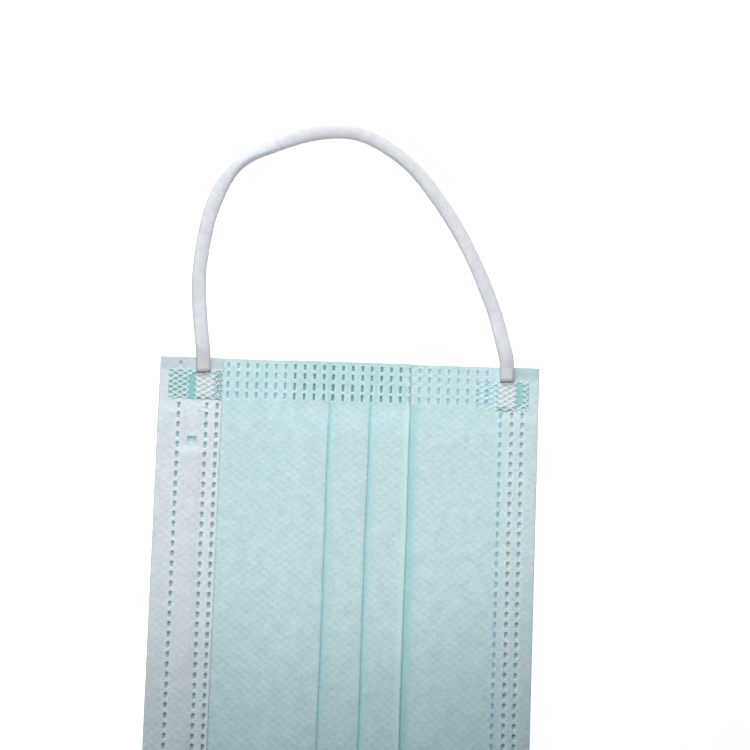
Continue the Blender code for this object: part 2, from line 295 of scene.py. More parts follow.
class FoldedPath:
    """Middle line of a folded cloth seen from its end: place and upward side at each distance along it."""

    def __init__(self, line):
        self.line = line
        self.along = np.concatenate([[0], np.cumsum(np.linalg.norm(np.diff(line, axis=0), axis=1))])
        heading = np.gradient(line, self.along, axis=0)
        heading /= np.linalg.norm(heading, axis=1)[:, None]
        self.side = np.stack([-heading[:, 1], heading[:, 0]], 1)
        self.whole = self.along[-1]

    def at(self, s, offset):
        """x and z at distance s, offset to the outer side."""
        x, z = (np.interp(s, self.along, self.line[:, k]) for k in (0, 1))
        nx, nz = (np.interp(s, self.along, self.side[:, k]) for k in (0, 1))
        return x + nx * offset, z + nz * offset

    def bends(self, sharpest=0.04):
        """Distances at which the line turns, where the cloth needs its finest grid."""
        heading = np.unwrap(np.arctan2(*np.gradient(self.line, self.along, axis=0).T[::-1]))
        return [float(s) for s, turn in zip(self.along, np.abs(np.gradient(heading))) if turn > sharpest]


def pleat_line():
    """The panel's section: up onto the first pleat, back under each fold edge, and down to the chin edge."""
    half, turn = LAYERS_THICK / 2, LAYER_STEP / 2 - 0.001
    first = HIDDEN_FOLDS[0]
    corners = [(NOSE_EDGE + 0.75, LOWEST, 0), (first - 5.3, LOWEST, 2.2), (first - 0.3, HIGHEST, 2.2)]
    for i, (edge, hidden) in enumerate(zip(FOLD_EDGES, HIDDEN_FOLDS)):
        if i:
            corners += [(FOLD_EDGES[i - 1] - 0.42, LOWEST, 0.6), (FOLD_EDGES[i - 1] + 1.05, HIGHEST, 0.7)]
        corners += [(edge - half, HIGHEST, turn), (edge - half, MIDDLE, turn)]
        corners += [(hidden + half, MIDDLE, turn), (hidden + half, LOWEST, turn)]
    return rounded_corners([*corners, (CHIN_EDGE - 0.75, LOWEST, 0)])


panel_path = FoldedPath(pleat_line())


def runs_seen(path, folds, from_above):
    """Stretches of the path that show from above or from below: (start, end) along it."""
    going_on = np.diff(path.line[:, 0]) > 0
    starts = [0.0] + [path.along[i + 1] for i in range(len(going_on) - 1) if going_on[i + 1] and not going_on[i]]
    ends = [path.along[i + 1] for i in range(len(going_on) - 1) if going_on[i] and not going_on[i + 1]] + [path.whole]
    seen = []
    for k, (start, end) in enumerate(zip(starts, ends)):
        run = (path.along >= start) & (path.along <= end)
        x, s = path.line[run, 0], path.along[run]
        if from_above and k:
            start = float(np.interp(folds[k - 1], x, s))
        if not from_above and k < len(folds):
            end = float(np.interp(folds[k], x, s))
        seen.append((start, end))
    return seen


seen_above = runs_seen(panel_path, FOLD_EDGES, True)
seen_below = runs_seen(panel_path, HIDDEN_FOLDS, False)


def path_place(path, seen, x):
    """Distance along the path of what shows at x."""
    for start, end in seen:
        s = np.linspace(start, end, 400)
        across = path.at(s, 0)[0]
        if across[0] <= x <= across[-1]:
            return float(np.interp(x, across, s))
    return None


def sprung(y):
    """How far the pleats stand up: pressed in the weld at both ends, springing open between them."""
    return 1 - (1 - WELD_PRESS) * smooth(SHORT_EDGE - WELD_DEEP - 9, SHORT_EDGE - WELD_DEEP, np.abs(y))


def rippled(x, y):
    """Small lift of the cloth where it isn't quite flat, in millimetres."""
    ripple = (
        np.sin(x * 0.16 + y * 0.05 + 0.6) + 0.8 * np.sin(x * 0.09 - y * 0.13 + 2.1)
        + 0.6 * np.sin(x * 0.31 + y * 0.11 + 4.0) + 0.45 * np.sin(-x * 0.23 + y * 0.27 + 1.3)
        + 0.3 * np.sin(x * 0.52 - y * 0.35 + 0.2)
    )
    calm = 1 - smooth(SHORT_EDGE - 18, SHORT_EDGE - 8, np.abs(y))
    return 0.07 * (ripple + 3.2) * calm


def wandering(x, y):
    """How far a fold strays sideways along the mask, in millimetres."""
    inside = smooth(-24, -14, x) * (1 - smooth(20, 32, x))
    return inside * (0.05 * np.sin(y * 0.09 + 0.5 + x * 0.2) + 0.03 * np.sin(y * 0.21 + x * 0.31))


def pressed_bar(dx, dy, half_width, half_length, deep, rim=0.05):
    """Height of the cloth round one weld bar: a rounded pit, with the cloth pushed up a little round it."""
    corner = min(half_width, half_length) * 0.8
    qx, qy = np.abs(dx) - half_width + corner, np.abs(dy) - half_length + corner
    edge = np.hypot(np.maximum(qx, 0), np.maximum(qy, 0)) + np.minimum(np.maximum(qx, qy), 0) - corner
    return -deep * (1 - smooth(-0.13, 0.10, edge)) + rim * np.exp(-(((edge - 0.24) / 0.15) ** 2))


def side_weld(x, y, deep, rim=None):
    """Four rows of bars along each short edge."""
    rim = abs(deep) * 0.4 if rim is None else rim
    height = np.zeros_like(x)
    column = np.clip(np.round((x - WELD_FIRST) / WELD_PITCH), 0, WELD_COLUMNS - 1)
    dx = x - WELD_FIRST - column * WELD_PITCH
    for inset, long in WELD_ROWS:
        dy = SHORT_EDGE - np.abs(y) - inset
        height += pressed_bar(dx, dy, WELD_BAR_WIDTH / 2, long / 2, deep, rim)
    return height


def beside_a_bar(x, y):
    """1 on the cloth pushed up round the side weld's bars."""
    return np.clip(side_weld(x, y, 0.0, 1.0), 0, 1)


def in_a_bar(x, y):
    """True where a point lies on the floor of one of the side weld's bars."""
    return side_weld(x, y, 1.0) < -0.25


def round_a_bar(centre, half):
    """Grid lines that a bar needs across or along it: its floor, its wall and the cloth pushed up round it."""
    return [centre + k for k in (
        -half - 0.42, -half - 0.14, -half + 0.02, -half + 0.16, half - 0.16, half - 0.02, half + 0.14, half + 0.42,
    )]


def plain_bar(centre, half):
    """The same for the inner side, where the bars are only prints."""
    return [centre + k for k in (-half - 0.12, -half + 0.05, half - 0.05, half + 0.12)]


def grid_lines(low, high, wanted, least=0.09, widest=1.6):
    """Grid lines in whole micrometres: the wanted ones, none closer than least and none wider apart than widest."""
    lines = [low]
    for line in sorted(w for w in wanted if low < w < high):
        if line - lines[-1] >= least and high - line >= least:
            lines.append(line)
    lines.append(high)
    filled = []
    for a, b in zip(lines, lines[1:]):
        parts = max(1, math.ceil((b - a) / widest))
        filled += [a + (b - a) * k / parts for k in range(parts)]
    return [round(v * 1000) for v in filled] + [round(high * 1000)]


def cloth(name, zones, outer_side, inner_side, finishes, finish_at, depth_at=None):
    """Closed cloth made of rectangles of grid lines side by side. A face beside a finer rectangle takes its points on
    their shared edge. outer_side and inner_side give each face's place, finish_at the finish of each grid face."""
    number, rows, columns = {}, {}, {}
    for across, along in zones:
        for s in across:
            for y in along:
                number.setdefault((s, y), len(number))
    for s, y in number:
        rows.setdefault(y, []).append(s)
        columns.setdefault(s, []).append(y)
    for line in [*rows.values(), *columns.values()]:
        line.sort()

    def between(line, a, b):
        return line[bisect_left(line, a):bisect_right(line, b)]

    faces, middles = [], []
    for across, along in zones:
        for s0, s1 in zip(across, across[1:]):
            for y0, y1 in zip(along, along[1:]):
                face = [(s, y0) for s in between(rows[y0], s0, s1)][:-1]
                face += [(s1, y) for y in between(columns[s1], y0, y1)][:-1]
                face += [(s, y1) for s in reversed(between(rows[y1], s0, s1))][:-1]
                face += [(s0, y) for y in reversed(between(columns[s0], y0, y1))][:-1]
                faces.append([number[p] for p in face])
                middles.append(((s0 + s1) / 2000, (y0 + y1) / 2000))
    s, y = np.array(list(number), float).T / 1000
    top, bottom = np.stack(outer_side(s, y), 1), np.stack(inner_side(s, y), 1)
    count = len(number)
    once = {}
    for face in faces:
        for a, b in zip(face, face[1:] + face[:1]):
            if once.pop((b, a), None) is None:
                once[(a, b)] = True
    everything = faces + [[v + count for v in reversed(face)] for face in faces]
    everything += [[b, a, a + count, b + count] for a, b in once]
    mesh = bpy.data.meshes.new(name)
    mesh.from_pydata((np.concatenate([top, bottom]) * 0.001).tolist(), [], everything)
    finish = np.zeros(len(everything), int)
    ms, my = np.array(middles).T
    finish[:len(faces)] = finish_at(ms, my, True)
    finish[len(faces):2 * len(faces)] = finish_at(ms, my, False)
    mesh.polygons.foreach_set("material_index", finish)
    for made in finishes:
        mesh.materials.append(made)
    flat = np.stack([np.concatenate([s, s]), np.concatenate([y, y])], 1)
    corners = np.zeros(len(mesh.loops), int)
    mesh.loops.foreach_get("vertex_index", corners)
    mesh.uv_layers.new(name="cloth_mm").uv.foreach_set("vector", flat[corners].astype(np.float32).ravel())
    if depth_at:
        depth = np.concatenate([depth_at(s, y), np.zeros(count)]).astype(np.float32)
        mesh.attributes.new("painted_light_and_tint", "FLOAT", "POINT").data.foreach_set("value", depth)
    mesh.update()
    mesh.shade_smooth()
    mesh.set_sharp_from_angle(angle=math.radians(66))
    piece = bpy.data.objects.new(name, mesh)
    bpy.context.collection.objects.link(piece)
    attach(piece, "root")
    return piece


def spunbond(name, thin, thick, bond_tint, shade_and_tint_colour=None, highlight_colour=None):
    """Spunbond polypropylene: endless fibres laid at random and pressed together at points in a diamond grid, so the
    cloth is matt and cloudy, thin and thick in places, and stands up a little between the points. The points are
    2.6 mm apart across the cloth and 2.04 mm along it, every second row shifted by half. A fibre is 0.02 mm thick,
    too fine to show, so they are drawn as tufts of 0.36 mm, in slanting wisps 1.2 mm wide and clouds of 3 mm.
    Its last two colours are painted light: a painted shade for a groove, which serves also as a plain darker tint, and
    a painted highlight for a raised edge or rim; on a fold edge it also stands for more layers of mint showing through.
    A point attribute of the cloth says where each goes."""
    made, tree, shader = new_material(name, Roughness=0.86, IOR=1.49, Sheen_Weight=0.2)
    place = add(tree, "UVMap", {"uv_map": "cloth_mm"}).outputs[0]
    steps = add(tree, "Mapping", Vector=place, Scale=(math.tau / 2.6, math.tau / 2.04, 1))
    parts = add(tree, "SeparateXYZ", i0=steps.outputs[0])
    waves = []
    for way in ("ADD", "SUBTRACT"):
        slant = add(tree, "Math", {"operation": way}, i0=parts.outputs[0], i1=parts.outputs[1])
        waves.append(add(tree, "Math", {"operation": "COSINE"}, i0=slant.outputs[0]))
    puff = add(tree, "Math", {"operation": "ADD"}, i0=waves[0].outputs[0], i1=waves[1].outputs[0])
    bond = add(tree, "MapRange", {"interpolation_type": "SMOOTHSTEP"}, i0=puff.outputs[0], i1=-1.1, i2=-1.9)
    flat = {"noise_dimensions": "2D"}
    fibres = add(tree, "TexNoise", flat, Vector=place, Scale=2.8, Detail=4.0, Roughness=0.68, Distortion=1.2)
    slanted = add(tree, "Mapping", Vector=place, Rotation=(0, 0, math.radians(-52)), Scale=(0.4, 1.5, 1)).outputs[0]
    wisps = add(tree, "TexNoise", flat, Vector=slanted, Scale=0.8, Detail=6.0, Roughness=0.72, Distortion=0.8)
    clouds = add(tree, "TexNoise", flat, Vector=place, Scale=0.3, Detail=5.0, Roughness=0.68)
    drift = add(tree, "Math", {"operation": "MULTIPLY_ADD"}, i0=wisps.outputs[0], i1=0.7, i2=clouds.outputs[0])
    mass = add(tree, "Math", {"operation": "MULTIPLY_ADD"}, i0=fibres.outputs[0], i1=1.9, i2=drift.outputs[0])
    mass = add(tree, "Math", {"operation": "MULTIPLY_ADD"}, i0=puff.outputs[0], i1=0.035, i2=mass.outputs[0])
    tint = add(tree, "MapRange", i0=mass.outputs[0], i1=1.38, i2=2.17)
    tint = add(tree, "ValToRGB", i0=tint.outputs[0])
    tint.color_ramp.elements[0].color, tint.color_ramp.elements[1].color = linear(thin), linear(thick)
    pressed = add(tree, "Math", {"operation": "MULTIPLY"}, i0=bond.outputs[0], i1=0.10)
    dotted = add(tree, "Mix", {"data_type": "RGBA"}, i0=pressed.outputs[0], i6=tint.outputs[0], i7=linear(bond_tint))
    colour = dotted.outputs[2]
    if shade_and_tint_colour:
        depth = add(tree, "Attribute", {"attribute_name": "painted_light_and_tint"}).outputs["Fac"]
        below = add(tree, "MapRange", i0=depth, i1=0.0, i2=1.0, i3=0.0, i4=0.9)
        above = add(tree, "MapRange", i0=depth, i1=0.0, i2=-1.0, i3=0.0, i4=0.8)
        # painted shade and darker tint, then painted highlight, mixed in where the point attribute asks
        for amount, tone in ((below, shade_and_tint_colour), (above, highlight_colour)):
            folded = add(tree, "Mix", {"data_type": "RGBA"}, i0=amount.outputs[0], i6=colour, i7=linear(tone))
            colour = folded.outputs[2]
    tree.links.new(colour, shader.inputs["Base Color"])
    raised = add(tree, "Math", {"operation": "MULTIPLY_ADD"}, i0=puff.outputs[0], i1=0.08, i2=fibres.outputs[0])
    bump = add(tree, "Bump", Strength=0.7, Distance=0.00026, Height=raised.outputs[0])
    tree.links.new(bump.outputs[0], shader.inputs["Normal"])
    return made


def fused_film(name, colour, pale):
    """Polypropylene cloth melted to a film by the welding horn: darker, clearer and a little shiny, so that what lies
    under it shows through, with specks of 0.3 mm where fibres didn't melt."""
    made, tree, shader = new_material(name, Roughness=0.42, IOR=1.49)
    place = add(tree, "UVMap", {"uv_map": "cloth_mm"}).outputs[0]
    specks = add(tree, "TexNoise", {"noise_dimensions": "2D"}, Vector=place, Scale=3.0, Detail=3.0, Roughness=0.6)
    tint = add(tree, "ValToRGB", i0=specks.outputs[0])
    tint.color_ramp.elements[0].position, tint.color_ramp.elements[1].position = 0.35, 0.75
    tint.color_ramp.elements[0].color, tint.color_ramp.elements[1].color = linear(colour), linear(pale)
    tree.links.new(tint.outputs[0], shader.inputs["Base Color"])
    bump = add(tree, "Bump", Strength=0.3, Distance=0.0001, Height=specks.outputs[0])
    tree.links.new(bump.outputs[0], shader.inputs["Normal"])
    return made


# its last two colours: painted shade in the fold grooves, also the greener tint of pressed cloth, and painted highlight
# on the fold edges and round the bars
mint_spunbond = spunbond("mint_spunbond_polypropylene", "#badadf", "#dbf0f3", "#a4cfd2", "#9edad8", "#d6f8f7")
film_three_layers = fused_film("fused_film_three_layers", "#578f8d", "#6ea5a2")  # over a pleat: the deepest mint
film_one_layer = fused_film("fused_film_one_layer", "#86afb6", "#9dc2c8")  # the white plies pale it
film_chin_side = fused_film("fused_film_chin_side", "#9bbac4", "#b0cbd4")  # pressed less

BAR_WIDTH, BAR_LENGTH = 0.78, 1.5  # the bars of the columns along both long edges
COLUMN_END, COLUMN_BARS = 75.2, 61  # the last bar's distance from the mask's middle, and bars in a column
COLUMN_PITCH = 2 * COLUMN_END / (COLUMN_BARS - 1)
MINT_COLUMN = 38.1  # the column that runs on the face itself, beside the chin fold
NOSE_BARS, CHIN_BARS = [-42.3, -35.35, -32.7], [MINT_COLUMN, 40.9, 43.5]  # every column, as printed on the lining


def column_lines(bar_lines_at):
    """Grid lines along the mask for the columns of bars."""
    return [c for k in range(COLUMN_BARS) for c in bar_lines_at(-COLUMN_END + COLUMN_PITCH * k, BAR_LENGTH / 2)]


def panel_zones(seen, column_groups, bar_lines_at):
    """Fine rectangles over both side welds and over each group of columns of bars, and plainer ones between."""
    bends = panel_path.bends()
    bar_lines = []
    for k in range(WELD_COLUMNS):
        s = path_place(panel_path, seen, WELD_FIRST + WELD_PITCH * k)
        if s is not None:
            bar_lines += bar_lines_at(s, WELD_BAR_WIDTH / 2)
    inner = SHORT_EDGE - WELD_DEEP
    fine = grid_lines(0, panel_path.whole, [*bends, *bar_lines], least=0.07, widest=1.1)
    band = [SHORT_EDGE - c for inset, long in WELD_ROWS for c in bar_lines_at(inset, long / 2)]
    along = grid_lines(inner, SHORT_EDGE, band, least=0.08, widest=1.0)
    middle = grid_lines(-inner, inner, [], widest=1.7)
    finer = sorted(set(middle) | set(grid_lines(-inner, inner, column_lines(bar_lines_at), least=0.09, widest=1.4)))
    finer = [finer[0]] + [b for a, b in zip(finer, finer[1:]) if b - a > 60 or b in middle]
    zones = [(fine, along), (fine, [-y for y in reversed(along)])]
    reached = 0.0
    for group in column_groups:
        places = [path_place(panel_path, seen, x) for x in group]
        low, high = min(places) - 1.0, max(places) + 1.0
        bars = [c for s in places for c in bar_lines_at(s, BAR_WIDTH / 2)]
        zones.append((grid_lines(reached, low, bends, least=0.15, widest=1.5), middle))
        zones.append((grid_lines(low, high, bars, least=0.08), finer))
        reached = high
    zones.append((grid_lines(reached, panel_path.whole, bends, least=0.15, widest=1.5), middle))
    return zones


def long_edge_bars(x, y, columns, deep, rim=0.05):
    """Columns of bars along one long edge; columns are their places across the mask."""
    nearest = np.clip(np.round((y + COLUMN_END) / COLUMN_PITCH), 0, COLUMN_BARS - 1)
    dy = y + COLUMN_END - nearest * COLUMN_PITCH
    height = np.zeros_like(x)
    for column in columns:
        height += pressed_bar(x - column, dy, BAR_WIDTH / 2, BAR_LENGTH / 2, deep, rim)
    return height


def panel_point(s, y, offset, seen, deep):
    """A point of the pleated layers, pressed by the weld where they show."""
    x, z = panel_path.at(s, offset)
    shows = np.zeros_like(s)
    for start, end in seen:
        shows = np.maximum(shows, smooth(start - 0.02, start + 0.02, s) * (1 - smooth(end - 0.4, end - 0.1, s)))
    way = 1.0 if offset > 0 else -1.0
    z = z * sprung(y) + way * side_weld(x, y, deep) * shows
    in_weld = smooth(SHORT_EDGE - WELD_DEEP - 3, SHORT_EDGE - WELD_DEEP + 1, np.abs(y))
    if offset > 0:
        for k, (start, _) in enumerate(seen[1:]):  # the face rises to meet the edge that lies on it
            fill = 0.24 + in_weld * (0.0 if k == 2 else 0.12)
            z += fill * (1 - smooth(start + 0.1, start + 1.8, s)) * smooth(start - 0.3, start, s)
        z += long_edge_bars(x, y, [MINT_COLUMN], deep * 0.7, 0.05) * shows
    else:
        z += long_edge_bars(x, y, NOSE_BARS + CHIN_BARS, deep * 1.5, 0.0) * shows
    return x + wandering(x, y), y, z + rippled(x, y)


def shown(s, seen):
    """True where a point of the path is on a stretch that shows."""
    return np.any([(s >= start) & (s <= end) for start, end in seen], axis=0)


def outer_finish(ms, my, outside):
    """Which finish a face has: mint cloth, or film on the floor of a bar by how much cloth lies under it."""
    finish = np.zeros(len(ms), int)
    if outside:
        x = panel_path.at(ms, 0)[0]
        shows = shown(ms, seen_above)
        barred = in_a_bar(x, my) & shows
        finish[barred] = 2
        finish[(long_edge_bars(x, my, [MINT_COLUMN], 1.0, 0) < -0.5) & shows] = 2
        finish[barred & (x > PLEATED[0]) & (x < PLEATED[1] - 2.5)] = 1  # paler again by the last fold edge
        finish[barred & (x > PLEATED[1])] = 3
    return finish


def painted_light_and_tint(s, y):
    """Painted light and tint on the face: 1 in the groove beside a fold edge, a painted shade; -1 on the edge itself, a
    painted highlight, where more layers of mint also show through.
    """
    depth = np.zeros_like(s)
    for k, ((_, end), (start, _)) in enumerate(zip(seen_above, seen_above[1:])):
        wide = 1.8 if k == 2 else 1.0
        groove = (1 - smooth(start + 0.25, start + wide, s)) * 0.75 + (1 - smooth(start + 0.8, start + 3.0, s)) * 0.3
        depth = np.maximum(depth, np.minimum(groove, 1) * (s > start - 0.4))
        depth = np.minimum(depth, np.where((s > end - 2.1) & (s < end + 0.3), -smooth(end - 2.0, end - 0.9, s), 1))
    in_weld = smooth(SHORT_EDGE - WELD_DEEP - 1, SHORT_EDGE - WELD_DEEP + 1, np.abs(y))
    x = panel_path.at(s, 0)[0]
    pressed_tint = np.where((x > PLEATED[0]) & (x < PLEATED[1]), 0.34, 0.12)  # pressed cloth is clearer and greener
    # in the weld band: greener pressed cloth, and a painted highlight on the cloth pushed up round the bars
    return depth * (1 - 0.6 * in_weld) + (pressed_tint - beside_a_bar(x, y)) * in_weld


outer_ply = cloth(
    "outer_ply", panel_zones(seen_above, [[MINT_COLUMN]], round_a_bar),
    lambda s, y: panel_point(s, y, LAYERS_THICK / 2, seen_above, 0.15),
    lambda s, y: panel_point(s, y, 0.06, seen_above, 0.10),
    [mint_spunbond, film_three_layers, film_one_layer, film_chin_side], outer_finish, painted_light_and_tint,
)
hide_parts("pleated_panel")


# ---------------------------------------------------------------- pleated panel: inner ply
# The lining against the face: white spunbond polypropylene, folded with the outer ply. The filter lies unseen between
# the two. The same weld holds it, so the bars show on this side too, fainter.

# its last two colours: painted shade below the creases and a darker tint along the short edge, and painted highlight on
# the crease ridges and round the bars
white_spunbond = spunbond("white_spunbond_polypropylene", "#d2dee4", "#ecf1f5", "#c6d8de", "#b2c7cd", "#f8fcfd")
film_strip = fused_film("fused_film_under_white", "#8eaeb2", "#a8c5c9")  # the mint ply behind it shows through


def inner_finish(ms, my, outside):
    """White cloth, or film on the floor of a bar."""
    finish = np.zeros(len(ms), int)
    if not outside:
        x = panel_path.at(ms, 0)[0]
        printed = long_edge_bars(x, my, NOSE_BARS + CHIN_BARS, 1.0, 0) < -0.4
        finish[(in_a_bar(x, my) | printed) & shown(ms, seen_below)] = 1
    return finish


def inner_underside(s, y):
    """The side that the mask lies on, kept just clear of the table."""
    x, y, z = panel_point(s, y, -LAYERS_THICK / 2, seen_below, -0.045)
    return x, y, np.maximum(z, 0.02)


inner_ply = cloth(
    "inner_ply", panel_zones(seen_below, [NOSE_BARS[:1], NOSE_BARS[1:], CHIN_BARS], plain_bar),
    lambda s, y: panel_point(s, y, -0.06, seen_below, 0.0),
    inner_underside, [white_spunbond, film_strip], inner_finish,
)
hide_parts("pleated_panel")


# ---------------------------------------------------------------- nose fold and chin fold
# The lining is cut wider than the face and turned over both long edges, then held by columns of short weld bars.
# At the nose it is wide enough for a pocket between two of the columns, where the wire lies.

PLY = 0.26  # thickness of the turned-over ply
FOLD_LEVEL = 0.86  # height of the middle of the turned-over ply
TURN_RADIUS = (FOLD_LEVEL + PLY / 2) / 2
FOLD_EDGE_LEVEL = 0.70  # where its free edge lies on the face
NOSE_COLUMNS, CHIN_COLUMNS = (5.2, 12.15, 14.8), (4.0, 6.6)  # distance of the columns of bars from the long edge
NOSE_FOLD_WIDTH, CHIN_FOLD_WIDTH = 15.8, 8.6
WIRE_END, POCKET_SHUT, POCKET_RISE = 62.9, 65.2, 0.46  # distances from the mask's middle, and height over the wire
CROSS_WELD, CROSS_WELD_HALF = (8.8, 66.6), (1.2, 0.65)  # from the nose edge and from the middle; half its size
EDGE_BAR_INSET, EDGE_BAR_HALF = 1.6, (0.36, 0.5)  # the single bar at the short edge
CREASES = [  # from x, y to x, y, height and half width of the small creases below the nose corner
    (-38.8, 75.6, -34.0, 74.4, 0.30, 0.26), (-37.6, 74.5, -34.4, 73.4, 0.26, 0.24),
    (-36.6, 73.4, -34.5, 71.0, 0.22, 0.28), (-43.5, 73.6, -40.5, 71.8, 0.10, 0.45),
    (-40.9, 75.6, -39.4, 70.2, 0.12, 0.5),
]

# its last two colours: a darker tint along the short edge, and painted highlight round the bars
white_over_mint = spunbond("white_spunbond_over_mint", "#c2dadf", "#deeef1", "#b4d0d6", "#a9c6cb", "#f2fbfc")
film_wire_weld = fused_film("fused_film_at_the_wire", "#8cb8bb", "#abced0")  # white on white on mint
shaded_fold = spunbond("white_spunbond_shaded_at_the_fold", "#adb0bd", "#c0c5cf", "#a4a8b8")  # painted shade: greyer round its turn


def turned_over(edge, inward, width):
    """Path of the lining from below, round the long edge and over the face."""
    outline = edge + inward * PLY / 2
    corners = [
        (edge + inward * 1.6, PLY / 2, 0), (outline, PLY / 2, TURN_RADIUS - PLY / 2 - 0.003),
        (outline, FOLD_LEVEL, TURN_RADIUS - PLY / 2 - 0.003), (edge + inward * width, FOLD_LEVEL, 0),
    ]
    line = rounded_corners(corners, 7)
    return FoldedPath(line if inward > 0 else line[::-1])


def puffed(x, columns):
    """How far the ply stands up between its columns of bars, 0 at a column and 1 between two."""
    rise = np.zeros_like(x)
    for a, b in zip(columns, columns[1:]):
        share = np.clip((x - a) / (b - a), 0, 1)
        rise += np.sin(share * math.pi) ** 1.2 * ((x > a) & (x < b))
    return rise


def creased(x, away_from_middle):
    """Height of the small creases that the weld has drawn into the pocket's end."""
    height = np.zeros_like(x)
    for x0, y0, x1, y1, high, half in CREASES:
        along = ((x - x0) * (x1 - x0) + (away_from_middle - y0) * (y1 - y0)) / ((x1 - x0) ** 2 + (y1 - y0) ** 2)
        along = np.clip(along, 0, 1)
        beside = np.hypot(x - x0 - along * (x1 - x0), away_from_middle - y0 - along * (y1 - y0))
        height += high * np.sin(math.pi * (0.08 + 0.84 * along)) * np.exp(-((beside / half) ** 2))
    return height


def edge_strip(name, edge, inward, width, columns, pocket, node, surface, film):
    """One turned-over edge with its columns of bars."""
    path = turned_over(edge, inward, width)
    places = [edge + inward * c for c in columns]
    stops = sorted([edge + inward * 0.7, *places, edge + inward * (width + 0.8)])
    across_weld, along_weld = CROSS_WELD

    def point(s, y, offset):
        x, z = path.at(s, offset)
        on_face = z > FOLD_LEVEL - 0.25
        band = smooth(SHORT_EDGE - WELD_DEEP - 4, SHORT_EDGE - WELD_DEEP - 0.5, np.abs(y))
        z = z * (1 - 0.18 * band)
        lift = 0.15 * puffed(x, stops) * (1 - 0.92 * band)
        free = smooth(width - 1.7, width - 0.4, (x - edge) * inward)
        lift = lift - (FOLD_LEVEL - FOLD_EDGE_LEVEL) * free
        if pocket:
            wire = smooth(edge + 5.3, edge + 7.2, x) * (1 - smooth(edge + 10.2, edge + 12.1, x))
            lift = lift + POCKET_RISE * wire * (1 - smooth(WIRE_END, POCKET_SHUT, np.abs(y)))
            lift = lift + pressed_bar(x - edge - across_weld, np.abs(y) - along_weld, *CROSS_WELD_HALF, 0.26, 0.07)
            lift = lift + creased(x, np.abs(y))
        bars = long_edge_bars(x, y, places, 0.34 if offset > 0 else 0.15, 0.11)
        if pocket:
            bars = bars + pressed_bar(x - places[0], SHORT_EDGE - np.abs(y) - EDGE_BAR_INSET, *EDGE_BAR_HALF, 0.24)
        z = np.where(on_face, z + lift + bars, z)
        return x, y, np.maximum(z + rippled(x, y) * smooth(0.0, 0.6, z), 0.015)

    def finish(ms, my, outside):
        x, z = path.at(ms, 0)
        out, above = np.abs(my), z > FOLD_LEVEL - 0.2
        found = ((long_edge_bars(x, my, places, 1.0, 0) < -0.35) & above).astype(int)
        if pocket:
            found[(np.abs(x - edge - across_weld) < 1.22) & (np.abs(out - along_weld) < 0.68) & above] = 2
            found[(np.abs(x - places[0]) < 0.34) & (np.abs(SHORT_EDGE - out - EDGE_BAR_INSET) < 0.46) & above] = 1
            # the turn round the long edge takes the painted shade
            found[(z > 0.16) & (z < FOLD_LEVEL - 0.1) & (x < edge + 1)] = 3
        return found if outside else found * 0

    def margin_and_painted_light(s, y):
        """Darker along the short edge; a painted shadow below each crease and a painted highlight on its ridge; a
        painted highlight on the cloth pushed up round the bars.
        """
        x, z = path.at(s, 0)
        margin = 0.55 * smooth(SHORT_EDGE - 3.6, SHORT_EDGE - 2.8, np.abs(y))
        # painted highlight round the bars
        rim_highlight = long_edge_bars(x, y, places, 0.0, 1.0) * (z > FOLD_LEVEL - 0.2)
        # painted shadow below each crease, painted highlight on its ridge
        folds = 2.6 * (creased(x, np.abs(y) + 0.4) - creased(x, np.abs(y))) if pocket else 0.0
        return np.clip(margin + folds - 0.75 * np.clip(rim_highlight, 0, 1), -1, 1)

    across = [*path.bends()]
    flat_end = path.whole if inward > 0 else 0.0
    for place in places:
        across += round_a_bar(flat_end - inward * abs(edge + inward * width - place), BAR_WIDTH / 2)
    along = column_lines(round_a_bar)
    if pocket:
        across += [flat_end - width + across_weld + k for k in (-1.45, -1.22, -1.05, -0.5, 0.5, 1.05, 1.22, 1.45)]
        along = [c for c in along if not -1.7 < abs(c) - along_weld < 1.7]
        for way in (-1, 1):
            along += [way * (SHORT_EDGE - EDGE_BAR_INSET + k) for k in (-0.65, -0.46, -0.3, 0.3, 0.46, 0.65)]
            along += [way * (along_weld + k) for k in (-1.5, -1.1, -0.9, -0.68, -0.5, 0, 0.5, 0.68, 0.9, 1.1, 1.5)]
    zone = (
        grid_lines(0, path.whole, across, least=0.08, widest=0.7 if pocket else 0.9),
        grid_lines(-SHORT_EDGE, SHORT_EDGE, along, least=0.09, widest=0.8),
    )
    strip = cloth(
        name, [zone], lambda s, y: point(s, y, PLY / 2), lambda s, y: point(s, y, -PLY / 2),
        [surface, film, film_wire_weld, shaded_fold], finish, margin_and_painted_light,
    )
    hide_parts(node)


edge_strip(
    "nose_fold", NOSE_EDGE, 1, NOSE_FOLD_WIDTH, NOSE_COLUMNS, True, "nose_edge_fold", white_spunbond, film_strip,
)
edge_strip(
    "chin_fold", CHIN_EDGE, -1, CHIN_FOLD_WIDTH, CHIN_COLUMNS, False, "chin_edge_fold", white_over_mint, film_chin_side,
)


# ---------------------------------------------------------------- corner welds
# Each end of a loop is laid on a corner and pressed flat by a knurled horn, which welds it and the plies under it
# through a net of small diamonds. Beside the cord the horn presses harder and melts the mint ply clear.

KNURL_ACROSS, KNURL_ALONG = 2.37, 1.39  # width and height of a diamond
